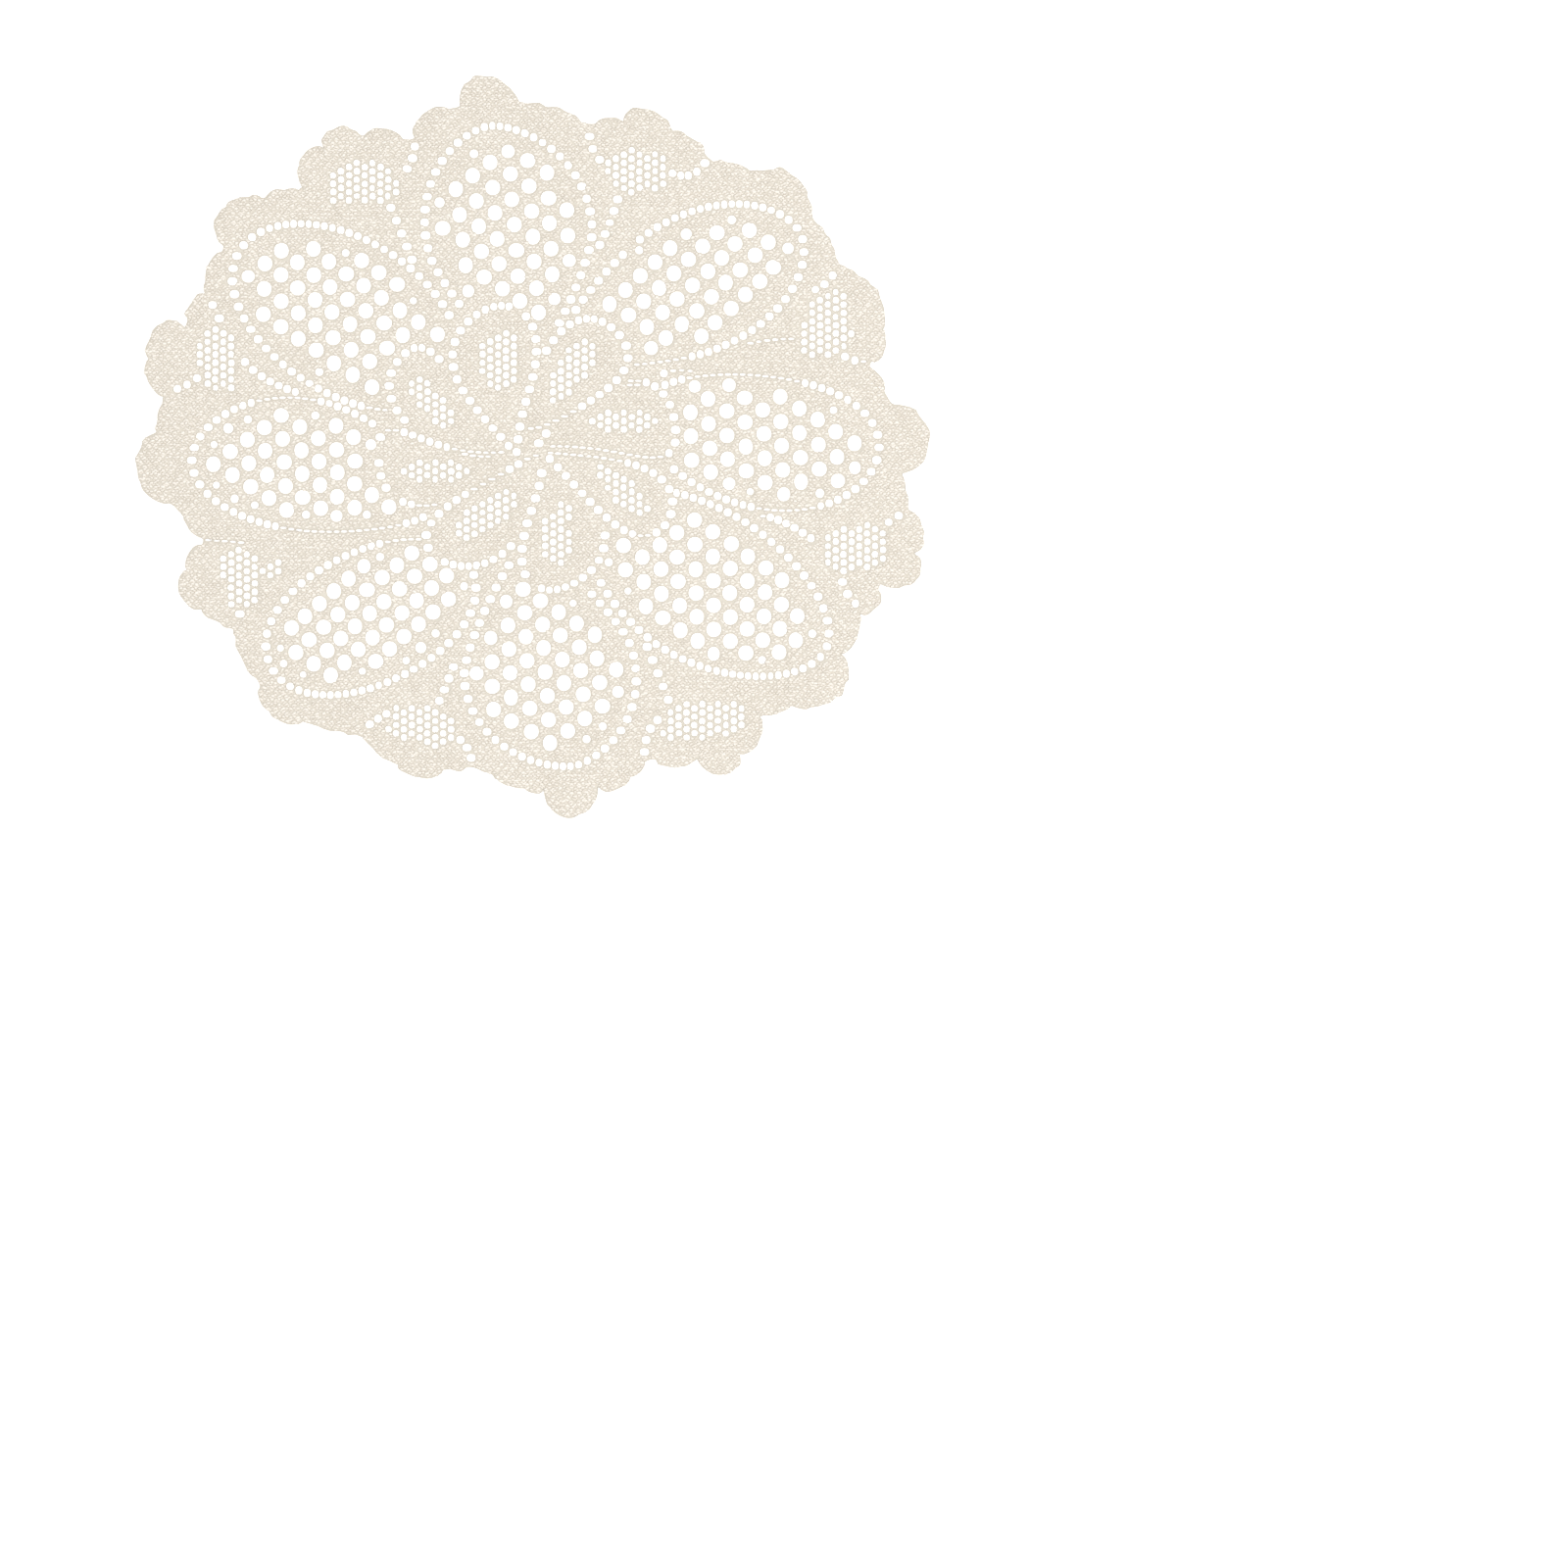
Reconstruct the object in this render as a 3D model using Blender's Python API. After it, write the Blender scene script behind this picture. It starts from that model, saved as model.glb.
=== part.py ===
"""A round lace doily, knitted in one piece and lying flat.

Eight petals filled with round holes stand about a small inner flower of eight
leaves, and the edge runs in uneven scallops. The cloth is one solid sheet, with
the petals' holes cut through it. Metres, +Z up. The origin lies under the middle
of the doily's bounding box, on the surface that it rests on.
"""

import math
from collections import namedtuple

import bpy
import numpy as np

MM = 0.001

CLOTH_THICKNESS = 1.5
HOLE_RADIUS = 2.85
HOLE_SIDES = 8
SCALLOP_POINT_SPACING = 4.3
FEWEST_SCALLOP_STEPS = 2

# A hole's middle lies at least this far inside its petal's outline, and at least
# this far outside each leaf of the inner flower.
PETAL_BAND = 6.8
LEAF_BAND = 3.5
LATTICE_REACH = 8

OUTLINE_STEPS = 120

# Sizes below are millimetres and degrees from the middle of the flower.
# An egg is the outline of a petal or a leaf: the ends of its length, half its
# width, how much wider its tip is than its base, how far it bows to the left
# between them, and how square its corners are (2 is an ellipse).
Egg = namedtuple("Egg", "base_x base_y tip_x tip_y width taper bow squareness")

PETALS = {
    "top": Egg(-5, 27, -18.5, 119.5, 30.7, 0.38, -2, 1.6),
    "upper_right": Egg(8, 33, 99.5, 79, 25.2, 0.3, 0.7, 1.75),
    "right": Egg(39, 12, 129, -4.5, 24.8, 0.12, -3.5, 2),
    "lower_right": Egg(20, -24.5, 108.5, -79.5, 28.5, 0, -2.5, 1.85),
    "bottom": Egg(-3, -38, 14, -122.5, 31.5, 0.4, -2.3, 1.6),
    "lower_left": Egg(-25, -48, -101, -84.5, 25, 0, 0, 2.1),
    "left": Egg(-37.5, -22.5, -130.5, -4.5, 24.5, 0.2, -4, 1.85),
    "upper_left": Egg(-32, 21.5, -112.5, 72.5, 29, 0, -0.5, 2),
}

LEAVES = {
    "top": Egg(-8, -4, -15, 51.5, 14, 0.75, 4, 1.75),
    "upper_right": Egg(-4.5, 6, 29.5, 42, 12.5, 0.45, 1, 2.3),
    "right": Egg(0.5, -1, 52, 7, 11.5, 0.75, 5, 2.5),
    "lower_right": Egg(3.5, -4.5, 49.5, -29.5, 10, 0.75, 1, 2.1),
    "bottom": Egg(2, -2, 6, -56, 13.5, 0.8, 6, 1.75),
    "lower_left": Egg(1, -5.5, -40, -42, 12.5, 0.45, 5, 1.9),
    "left": Egg(-6, -4, -60, -5.5, 10, 0.75, 7.5, 3),
    "upper_left": Egg(-13.5, -3.5, -51.5, 32, 11.5, 0.35, 4.5, 2.5),
}

# A petal's holes stand in a brick pattern. Its table row holds the hole nearest
# the petal's middle, the steps to the holes right below and right above it, and
# how much the columns splay apart.
Holes = namedtuple("Holes", "x y down_x down_y up_x up_y splay")

PETAL_HOLES = {
    "top": Holes(-8, 72.5, 7, -4.5, 6.2, 5.1, -0.25),
    "upper_right": Holes(53, 54, 7.1, -4.4, 5.7, 5.2, 0.2),
    "right": Holes(85.5, 3, 7, -4.4, 6.7, 4.8, 0),
    "lower_right": Holes(66.5, -52.5, 6.6, -4.5, 6.5, 4.7, -0.3),
    "bottom": Holes(3, -87, 7, -4.3, 6.4, 4.7, 0.2),
    "lower_left": Holes(-63.5, -65, 6.6, -4.3, 5.5, 4.7, -0.2),
    "left": Holes(-89, -12, 6.8, -4.3, 6.4, 4.6, -0.2),
    "upper_left": Holes(-71, 44.5, 6.8, -4.6, 6.2, 5, 0.3),
}

# The edge, anticlockwise, in one section for each petal and the fan after it. A
# scallop starts at this angle and radius, bulges out this far from the straight
# line to the next one's start, and leans along the edge by this share of it.
Scallop = namedtuple("Scallop", "angle radius bulge lean")

EDGE_SECTIONS = {
    "right": [
        Scallop(-5, 138.5, 11.6, 0),
        Scallop(6, 136, -0.5, 0),
        Scallop(8.5, 133, 1.5, 0),
        Scallop(12.5, 129, -0.5, 0),
        Scallop(13.5, 130, 3.5, -0.1),
        Scallop(18, 137.5, 3, 0.1),
        Scallop(25, 139, 1.5, 0),
    ],
    "upper_right": [
        Scallop(30.5, 132, 0.8, 0),
        Scallop(34, 134, 1, 0),
        Scallop(39, 134, 0.8, 0),
        Scallop(42.5, 137.5, 2.8, 0),
        Scallop(49, 137, -0.3, 0),
        Scallop(52, 130.5, 1, 0),
        Scallop(57.5, 126, -0.5, 0),
        Scallop(60, 127, 1.8, 0),
        Scallop(66.5, 128.5, 6, 0.1),
    ],
    "top": [
        Scallop(75, 126, 1.5, 0),
        Scallop(79.5, 123, -0.8, 0),
        Scallop(82.5, 123, 2, 0),
        Scallop(93, 128, 11, 0.1),
        Scallop(103, 130.5, -0.3, 0),
        Scallop(105, 130.5, 4.5, 0),
        Scallop(112, 124, -0.5, 0),
        Scallop(114, 125.5, 3.5, 0),
        Scallop(120, 133, 6.5, 0.1),
    ],
    "upper_left": [
        Scallop(126, 137.5, 3.3, 0),
        Scallop(130.7, 137.5, 1.5, 0),
        Scallop(132.5, 131.5, -0.2, 0),
        Scallop(133.5, 131.5, 2, 0),
        Scallop(138.5, 138.5, 2.7, 0),
        Scallop(143, 147.5, 3.7, 0),
        Scallop(148, 140, -0.2, 0),
        Scallop(149, 140, 2.7, 0),
        Scallop(156, 137, 3, 0),
        Scallop(160.5, 140.5, 0, 0),
        Scallop(162, 141, 7, -0.1),
        Scallop(168, 150, 4, 0),
    ],
    "left": [
        Scallop(173, 141.5, 1, 0),
        Scallop(178.5, 144, 10.3, 0),
        Scallop(189.5, 141, -0.7, 0),
        Scallop(192, 137.3, 1.3, 0),
        Scallop(196, 132, -0.3, 0),
        Scallop(197, 133.5, 2.5, 0),
        Scallop(200, 141, 5.5, 0),
        Scallop(206.5, 142, 1.5, 0),
    ],
    "lower_left": [
        Scallop(211.5, 134.7, 1.8, 0.1),
        Scallop(219.5, 139, 0, 0),
        Scallop(221.5, 140, 5.8, 0),
        Scallop(230, 138, 1, 0),
        Scallop(239.5, 129, 2.3, 0),
        Scallop(246.5, 132, 5, 0),
        Scallop(254, 129, 1, 0),
        Scallop(257.5, 126, -1, 0),
    ],
    "bottom": [
        Scallop(262.5, 127.5, 1.7, 0),
        Scallop(268, 131, 1.8, 0),
        Scallop(271, 131.5, 10.7, 0),
        Scallop(280, 133, 3, 0),
        Scallop(285.5, 131.5, 1.4, 0),
        Scallop(288.5, 128, -0.8, 0),
        Scallop(290.5, 128.5, 2.7, -0.1),
        Scallop(296.7, 135, 6.8, 0.1),
        Scallop(303, 140.5, 4.5, 0),
    ],
    "lower_right": [
        Scallop(309, 133, 1.2, 0),
        Scallop(314, 138.3, 2.5, 0),
        Scallop(319.5, 148.5, 3.7, 0),
        Scallop(325, 140, 3, 0),
        Scallop(332, 137.5, 4, 0),
        Scallop(336.5, 140.5, 0, 0),
        Scallop(337.5, 141, 7.5, 0.1),
        Scallop(343.5, 149, 5, 0),
        Scallop(349.5, 141.5, 1.3, 0),
    ],
}


def at(angle, radius):
    """The point at this angle and distance from the middle of the flower."""
    turn = math.radians(angle)
    return np.array([radius * math.cos(turn), radius * math.sin(turn)])


def egg_outline(egg):
    """Points round an egg, as rows of x and y."""
    base, tip = np.array([egg.base_x, egg.base_y]), np.array([egg.tip_x, egg.tip_y])
    middle, half = (base + tip) / 2, (tip - base) / 2
    sideways = np.array([-half[1], half[0]]) / np.hypot(*half)
    turns = np.linspace(0, 2 * math.pi, OUTLINE_STEPS, endpoint=False)
    cosine, sine = np.cos(turns), np.sin(turns)
    power = 2 / egg.squareness
    along = np.sign(cosine) * np.abs(cosine) ** power
    across = np.sign(sine) * np.abs(sine) ** power * egg.width * (1 + egg.taper * along)
    across += egg.bow * (1 - along**2)
    return middle + np.outer(along, half) + np.outer(across, sideways)


def depth_inside(outline, point):
    """How far a point lies inside a closed outline, negative when it is outside."""
    starts, ends = outline, np.roll(outline, -1, axis=0)
    sides = ends - starts
    share = ((point - starts) * sides).sum(1) / (sides**2).sum(1)
    nearest = starts + np.clip(share, 0, 1)[:, None] * sides
    distance = np.hypot(*(point - nearest).T).min()
    crosses = (starts[:, 1] > point[1]) != (ends[:, 1] > point[1])
    rise = np.where(crosses, ends[:, 1] - starts[:, 1], 1)
    crossing_x = starts[:, 0] + (point[1] - starts[:, 1]) * sides[:, 0] / rise
    inside = np.count_nonzero(crosses & (crossing_x > point[0])) % 2 == 1
    return distance if inside else -distance


def scallop_points(scallop, following):
    """Points along one scallop, up to but not including the next one's start."""
    start = at(scallop.angle, scallop.radius)
    chord = at(following.angle, following.radius) - start
    length = np.hypot(*chord)
    outward = np.array([chord[1], -chord[0]]) / length
    reach = length + 2 * abs(scallop.bulge)
    steps = max(FEWEST_SCALLOP_STEPS, round(reach / SCALLOP_POINT_SPACING))
    points = []
    for step in range(steps):
        turn = math.pi * step / steps
        share = 0.5 - 0.5 * math.cos(turn) + scallop.lean * math.sin(turn)
        points.append(start + share * chord + scallop.bulge * math.sin(turn) * outward)
    return points


def edge_points():
    """The whole scalloped edge, anticlockwise."""
    scallops = [scallop for section in EDGE_SECTIONS.values() for scallop in section]
    points = []
    for scallop, following in zip(scallops, scallops[1:] + scallops[:1]):
        points += scallop_points(scallop, following)
    return np.array(points)


def petal_holes(name, leaf_outlines):
    """The middles of one petal's holes."""
    outline = egg_outline(PETALS[name])
    row = PETAL_HOLES[name]
    first = np.array([row.x, row.y])
    down, up = np.array([row.down_x, row.down_y]), np.array([row.up_x, row.up_y])
    holes = []
    for i in range(-LATTICE_REACH, LATTICE_REACH + 1):
        for j in range(-LATTICE_REACH, LATTICE_REACH + 1):
            point = first + i * down + j * up
            point[0] += row.splay * (i + j) * (i - j) / 4
            if depth_inside(outline, point) < PETAL_BAND:
                continue
            if max(depth_inside(leaf, point) for leaf in leaf_outlines) > -LEAF_BAND:
                continue
            holes.append(point)
    return holes


def hole_points(middle):
    """A round hole's corners, anticlockwise, with a flat side at each side."""
    turn = 360 / HOLE_SIDES
    return [middle + at((step + 0.5) * turn, HOLE_RADIUS) for step in range(HOLE_SIDES)]


def add_loop(curve, points):
    """A closed loop of straight steps in a flat curve, from points in millimetres."""
    spline = curve.splines.new("POLY")
    spline.points.add(len(points) - 1)
    for corner, (x, y) in zip(spline.points, points):
        corner.co = (x * MM, y * MM, 0, 1)
    spline.use_cyclic_u = True


def cotton_material():
    """Unbleached, ecru cotton yarn."""
    material = bpy.data.materials.new("ecru_cotton")
    material.use_nodes = True
    shader = material.node_tree.nodes["Principled BSDF"]
    shader.inputs["Base Color"].default_value = (0.82, 0.75, 0.63, 1)
    shader.inputs["Roughness"].default_value = 0.9
    shader.inputs["Metallic"].default_value = 0
    return material


def lace_cloth(collection):
    """The knitted sheet: its scalloped edge, filled, less the petals' holes."""
    edge = edge_points()
    middle = (edge.min(axis=0) + edge.max(axis=0)) / 2
    curve = bpy.data.curves.new("lace_cloth", "CURVE")
    curve.dimensions = "2D"
    curve.fill_mode = "BOTH"
    curve.extrude = CLOTH_THICKNESS / 2 * MM
    add_loop(curve, edge - middle)
    leaf_outlines = [egg_outline(leaf) for leaf in LEAVES.values()]
    for name in PETALS:
        for hole in petal_holes(name, leaf_outlines):
            add_loop(curve, hole_points(hole - middle))
    curve.materials.append(cotton_material())
    cloth = bpy.data.objects.new("lace_cloth", curve)
    cloth.location.z = CLOTH_THICKNESS / 2 * MM
    collection.objects.link(cloth)
    return cloth


def main():
    for old in list(bpy.data.objects):
        bpy.data.objects.remove(old, do_unlink=True)
    collection = bpy.data.collections.new("lace_doily")
    bpy.context.scene.collection.children.link(collection)
    lace_cloth(collection)


main()
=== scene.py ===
# %% [markdown]
# A round lace doily, step by step
#
# The object is one flat sheet of cotton, knitted by machine in open work. Eight
# petals full of round holes stand about a small inner flower of eight leaves, and
# the edge runs in uneven scallops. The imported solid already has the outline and
# the petals' large holes. This lesson dresses it: the fine openings, the raised
# stitches, the cotton, the light and the camera.
#
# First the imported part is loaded. Every length below is written in millimetres,
# and turned into metres only where a mesh is made.

import math
from collections import namedtuple

import bpy
import numpy as np
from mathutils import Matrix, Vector
from mathutils.geometry import delaunay_2d_cdt


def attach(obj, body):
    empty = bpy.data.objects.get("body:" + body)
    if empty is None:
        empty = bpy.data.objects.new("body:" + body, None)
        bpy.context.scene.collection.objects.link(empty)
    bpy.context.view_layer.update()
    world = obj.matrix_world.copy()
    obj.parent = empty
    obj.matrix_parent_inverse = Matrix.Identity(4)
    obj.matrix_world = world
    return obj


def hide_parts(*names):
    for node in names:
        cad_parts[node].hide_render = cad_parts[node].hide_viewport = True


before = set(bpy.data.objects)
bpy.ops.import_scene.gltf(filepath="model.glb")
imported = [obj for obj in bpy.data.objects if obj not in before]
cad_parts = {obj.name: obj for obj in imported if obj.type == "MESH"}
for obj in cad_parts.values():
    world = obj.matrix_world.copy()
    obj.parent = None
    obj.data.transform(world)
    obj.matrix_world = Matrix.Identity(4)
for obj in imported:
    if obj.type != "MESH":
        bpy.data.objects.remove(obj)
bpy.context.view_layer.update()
MM = 0.001
chance = np.random.default_rng(5)
CLOTH_THICKNESS = 1.5
print("packed nodes:", sorted(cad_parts))

# %% [markdown]
# The petals and the leaves
#
# On the real doily a petal is a field of holes inside a ring of small eyelets, and
# a leaf is an almond of plain knitting round a patch of net. Both are drawn with
# one curve: an ellipse that may be wider at one end, bowed to one side and more or
# less square at its corners. Drawing each ring by hand as a Bezier curve would
# work too, but one formula with eight numbers is easier to read and to change.

# %% Eggs: the outlines of petals and leaves
# The ends of its length, half its width, how much wider its tip is than its base,
# how far it bows to the left between them, and how square its corners are.
Egg = namedtuple("Egg", "base_x base_y tip_x tip_y width taper bow squareness")

PETALS = {
    "top": Egg(-5, 27, -18.5, 119.5, 30.7, 0.38, -2, 1.6),
    "upper_right": Egg(8, 33, 99.5, 79, 25.2, 0.3, 0.7, 1.75),
    "right": Egg(39, 12, 129, -4.5, 24.8, 0.12, -3.5, 2),
    "lower_right": Egg(20, -24.5, 108.5, -79.5, 28.5, 0, -2.5, 1.85),
    "bottom": Egg(-3, -38, 14, -122.5, 31.5, 0.4, -2.3, 1.6),
    "lower_left": Egg(-25, -48, -101, -84.5, 25, 0, 0, 2.1),
    "left": Egg(-37.5, -22.5, -130.5, -4.5, 24.5, 0.2, -4, 1.85),
    "upper_left": Egg(-32, 21.5, -112.5, 72.5, 29, 0, -0.5, 2),
}
LEAVES = {
    "top": Egg(-8, -4, -15, 51.5, 14, 0.75, 4, 1.75),
    "upper_right": Egg(-4.5, 6, 29.5, 42, 12.5, 0.45, 1, 2.3),
    "right": Egg(0.5, -1, 52, 7, 11.5, 0.75, 5, 2.5),
    "lower_right": Egg(3.5, -4.5, 49.5, -29.5, 10, 0.75, 1, 2.1),
    "bottom": Egg(2, -2, 6, -56, 13.5, 0.8, 6, 1.75),
    "lower_left": Egg(1, -5.5, -40, -42, 12.5, 0.45, 5, 1.9),
    "left": Egg(-6, -4, -60, -5.5, 10, 0.75, 7.5, 3),
    "upper_left": Egg(-13.5, -3.5, -51.5, 32, 11.5, 0.35, 4.5, 2.5),
}
OUTLINE_STEPS = 240


def at(angle, radius):
    """The point at this angle and distance from the middle of the flower."""
    turn = math.radians(angle)
    return np.array([radius * math.cos(turn), radius * math.sin(turn)])


def egg_outline(egg):
    """Points round an egg, as rows of x and y."""
    base, tip = np.array([egg.base_x, egg.base_y]), np.array([egg.tip_x, egg.tip_y])
    middle, half = (base + tip) / 2, (tip - base) / 2
    sideways = np.array([-half[1], half[0]]) / np.hypot(*half)
    turns = np.linspace(0, 2 * math.pi, OUTLINE_STEPS, endpoint=False)
    cosine, sine = np.cos(turns), np.sin(turns)
    power = 2 / egg.squareness
    along = np.sign(cosine) * np.abs(cosine) ** power
    across = np.sign(sine) * np.abs(sine) ** power * egg.width * (1 + egg.taper * along)
    across += egg.bow * (1 - along**2)
    return middle + np.outer(along, half) + np.outer(across, sideways)


leaf_outlines = [egg_outline(leaf) for leaf in LEAVES.values()]
print("petals:", len(PETALS), "leaves:", len(LEAVES))

# %% [markdown]
# How deep a place lies inside an outline
#
# Almost every choice below asks one question: how far inside this petal, this leaf
# or the whole cloth does a place lie? A hole shrinks near its petal's ring, and a
# stitch stops short of the edge. The helper measures that for many places at once.

# %% A helper that measures depth
POINTS_AT_ONCE = 2000
# Keeps a side without length from dividing by zero
TINY_SQUARE = 1e-12


def depths_inside(outline, points):
    """How far each point lies inside a closed outline, negative when outside."""
    starts, ends = outline, np.roll(outline, -1, axis=0)
    sides = ends - starts
    lengths = np.maximum((sides**2).sum(1), TINY_SQUARE)
    depths = []
    for first in range(0, len(points), POINTS_AT_ONCE):
        some = points[first : first + POINTS_AT_ONCE, None, :]
        share = np.clip(((some - starts) * sides).sum(2) / lengths, 0, 1)
        gap = some - starts - share[..., None] * sides
        distance = np.sqrt((gap**2).sum(2).min(1))
        crosses = (starts[:, 1] > some[..., 1]) != (ends[:, 1] > some[..., 1])
        rise = np.where(starts[:, 1] == ends[:, 1], 1, ends[:, 1] - starts[:, 1])
        crossing_x = starts[:, 0] + (some[..., 1] - starts[:, 1]) * sides[:, 0] / rise
        inside = (crosses & (crossing_x > some[..., 0])).sum(1) % 2 == 1
        depths.append(np.where(inside, distance, -distance))
    return np.concatenate(depths)


def outside_leaves(points):
    """How far each point lies outside the nearest leaf, negative when inside."""
    return np.min([-depths_inside(leaf, points) for leaf in leaf_outlines], axis=0)


print("depth of the middle in the top leaf:", depths_inside(leaf_outlines[0], np.zeros((1, 2))))

# %% [markdown]
# The scalloped edge
#
# The edge of the cloth is a chain of 71 scallops. Each starts at an angle and a
# distance from the middle, and swells outwards by its own amount, as a shallow
# wave, a round lobe or a narrow tooth. This is the same table that shaped the
# solid, drawn with finer steps. A smooth curve would look cut with scissors, where
# knitting ends in single stitches, so the edge is then made a little ragged: every
# few millimetres it steps in or out by chance.

# %% The scallops, anticlockwise, in a section for each petal and the fan after it
# A scallop starts at this angle and radius, bulges out this far from the straight
# line to the next one's start, and leans along the edge by this share of it.
Scallop = namedtuple("Scallop", "angle radius bulge lean")

EDGE_SECTIONS = {
    "right": [
        Scallop(-5, 138.5, 11.6, 0),
        Scallop(6, 136, -0.5, 0),
        Scallop(8.5, 133, 1.5, 0),
        Scallop(12.5, 129, -0.5, 0),
        Scallop(13.5, 130, 3.5, -0.1),
        Scallop(18, 137.5, 3, 0.1),
        Scallop(25, 139, 1.5, 0),
    ],
    "upper_right": [
        Scallop(30.5, 132, 0.8, 0),
        Scallop(34, 134, 1, 0),
        Scallop(39, 134, 0.8, 0),
        Scallop(42.5, 137.5, 2.8, 0),
        Scallop(49, 137, -0.3, 0),
        Scallop(52, 130.5, 1, 0),
        Scallop(57.5, 126, -0.5, 0),
        Scallop(60, 127, 1.8, 0),
        Scallop(66.5, 128.5, 6, 0.1),
    ],
    "top": [
        Scallop(75, 126, 1.5, 0),
        Scallop(79.5, 123, -0.8, 0),
        Scallop(82.5, 123, 2, 0),
        Scallop(93, 128, 11, 0.1),
        Scallop(103, 130.5, -0.3, 0),
        Scallop(105, 130.5, 4.5, 0),
        Scallop(112, 124, -0.5, 0),
        Scallop(114, 125.5, 3.5, 0),
        Scallop(120, 133, 6.5, 0.1),
    ],
    "upper_left": [
        Scallop(126, 137.5, 3.3, 0),
        Scallop(130.7, 137.5, 1.5, 0),
        Scallop(132.5, 131.5, -0.2, 0),
        Scallop(133.5, 131.5, 2, 0),
        Scallop(138.5, 138.5, 2.7, 0),
        Scallop(143, 147.5, 3.7, 0),
        Scallop(148, 140, -0.2, 0),
        Scallop(149, 140, 2.7, 0),
        Scallop(156, 137, 3, 0),
        Scallop(160.5, 140.5, 0, 0),
        Scallop(162, 141, 7, -0.1),
        Scallop(168, 150, 4, 0),
    ],
    "left": [
        Scallop(173, 141.5, 1, 0),
        Scallop(178.5, 144, 10.3, 0),
        Scallop(189.5, 141, -0.7, 0),
        Scallop(192, 137.3, 1.3, 0),
        Scallop(196, 132, -0.3, 0),
        Scallop(197, 133.5, 2.5, 0),
        Scallop(200, 141, 5.5, 0),
        Scallop(206.5, 142, 1.5, 0),
    ],
    "lower_left": [
        Scallop(211.5, 134.7, 1.8, 0.1),
        Scallop(219.5, 139, 0, 0),
        Scallop(221.5, 140, 5.8, 0),
        Scallop(230, 138, 1, 0),
        Scallop(239.5, 129, 2.3, 0),
        Scallop(246.5, 132, 5, 0),
        Scallop(254, 129, 1, 0),
        Scallop(257.5, 126, -1, 0),
    ],
    "bottom": [
        Scallop(262.5, 127.5, 1.7, 0),
        Scallop(268, 131, 1.8, 0),
        Scallop(271, 131.5, 10.7, 0),
        Scallop(280, 133, 3, 0),
        Scallop(285.5, 131.5, 1.4, 0),
        Scallop(288.5, 128, -0.8, 0),
        Scallop(290.5, 128.5, 2.7, -0.1),
        Scallop(296.7, 135, 6.8, 0.1),
        Scallop(303, 140.5, 4.5, 0),
    ],
    "lower_right": [
        Scallop(309, 133, 1.2, 0),
        Scallop(314, 138.3, 2.5, 0),
        Scallop(319.5, 148.5, 3.7, 0),
        Scallop(325, 140, 3, 0),
        Scallop(332, 137.5, 4, 0),
        Scallop(336.5, 140.5, 0, 0),
        Scallop(337.5, 141, 7.5, 0.1),
        Scallop(343.5, 149, 5, 0),
        Scallop(349.5, 141.5, 1.3, 0),
    ],
}
scallops = [scallop for section in EDGE_SECTIONS.values() for scallop in section]
print("scallops:", len(scallops))

# %% Draw the edge and make it ragged
EDGE_POINT_SPACING = 0.85
FEWEST_STEPS = 3
# A point nearer than this to the one before it is left out
CROWDED = 0.4
# The last stitches stand in or out by about this much, never by more than the
# most, and change at this pitch
RAGGED = 0.4
MOST_RAGGED = 0.75
RAGGED_PITCH = 2.4


def scallop_points(scallop, following):
    """Points along one scallop, up to but not including the next one's start."""
    start = at(scallop.angle, scallop.radius)
    chord = at(following.angle, following.radius) - start
    length = np.hypot(*chord)
    outward = np.array([chord[1], -chord[0]]) / length
    reach = length + 2 * abs(scallop.bulge)
    steps = max(FEWEST_STEPS, round(reach / EDGE_POINT_SPACING))
    turns = np.pi * np.arange(steps) / steps
    share = 0.5 - 0.5 * np.cos(turns) + scallop.lean * np.sin(turns)
    return start + np.outer(share, chord) + np.outer(scallop.bulge * np.sin(turns), outward)


def ragged(points):
    """The loop moved a little towards and away from the flower's middle."""
    walked = np.cumsum(np.hypot(*(np.roll(points, -1, axis=0) - points).T))
    knots = np.arange(0, walked[-1] - RAGGED_PITCH / 2, RAGGED_PITCH)
    moves = np.clip(chance.normal(0, RAGGED, len(knots)), -MOST_RAGGED, MOST_RAGGED)
    move = np.interp(walked, knots, moves, period=walked[-1])
    return points * (1 + move / np.hypot(*points.T))[:, None]


def uncrowded(points):
    """The loop without the points that nearly touch the one before them."""
    return points[np.hypot(*(points - np.roll(points, 1, axis=0)).T) > CROWDED]


edge_parts = map(scallop_points, scallops, scallops[1:] + scallops[:1])
smooth_edge = uncrowded(np.vstack(list(edge_parts)))
cloth_middle = (smooth_edge.min(axis=0) + smooth_edge.max(axis=0)) / 2
edge = uncrowded(ragged(smooth_edge))
print("edge points:", len(edge), "width and depth:", np.ptp(edge, axis=0).round(1))

# %% [markdown]
# The petals' holes
#
# Inside its ring, a petal has round holes in a brick pattern: every hole has a
# neighbour right below it and one right above it, one step away. Two steps and a
# first hole therefore give the whole field. The real holes shrink in the last few
# millimetres before the ring, and so do these.

# %% The petals' fields of holes
# An opening is an oval gap in the cloth: its middle, its half sizes and its kind.
Opening = namedtuple("Opening", "x y wide tall kind")
# The hole nearest the petal's middle, the steps to the holes right below and right
# above it, and how much the columns splay apart.
Holes = namedtuple("Holes", "x y down_x down_y up_x up_y splay")

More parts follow.
